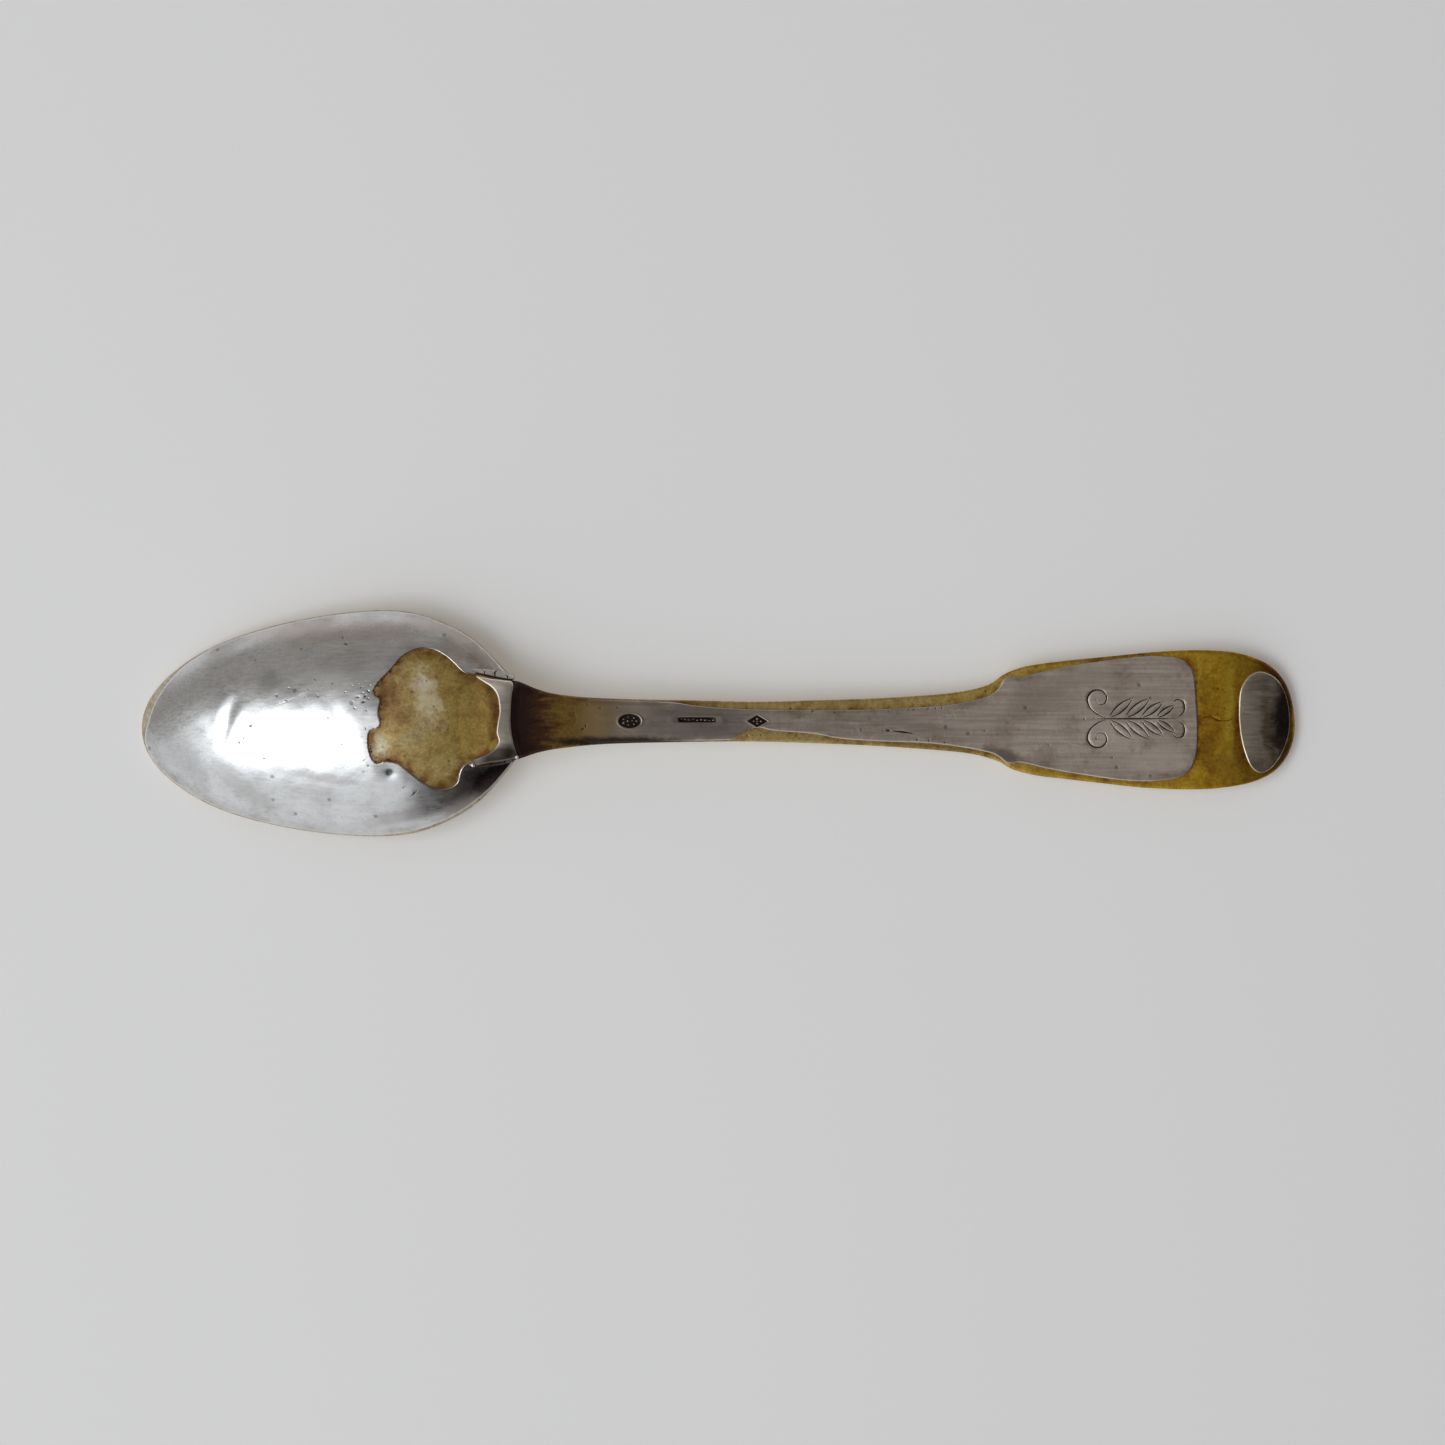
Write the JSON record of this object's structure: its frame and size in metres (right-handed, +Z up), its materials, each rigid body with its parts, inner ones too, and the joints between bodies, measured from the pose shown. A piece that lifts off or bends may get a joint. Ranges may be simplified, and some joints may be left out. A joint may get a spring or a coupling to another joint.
{
  "type": "antique teaspoon",
  "caption": "Antique fiddle-handled teaspoon lying face down, yellow-metal body with worn silver facings on its back.",
  "frame": {"origin": "middle of the spoon's footprint, on the surface it lies on", "axes": "+X along the spoon from the bowl towards the handle's end, +Z up, out of the spoon's back: the spoon lies face down"},
  "size_m": [0.145, 0.0284, 0.011],
  "materials": {
    "yellow_metal": "worn and tarnished olive gold, satin",
    "silver": "old hand-polished silver, satin, with fine scratches, pits and dark stains",
    "solder": "dark pitted solder"
  },
  "bodies": {
    "root": {"bowl": "yellow_metal", "bowl_facing": "silver", "handle": "yellow_metal", "handle_facing": "silver", "tip_facing": "silver", "heel_facing": "silver", "heel_seam_left": "solder", "heel_seam_right": "solder"}
  },
  "joints": []
}
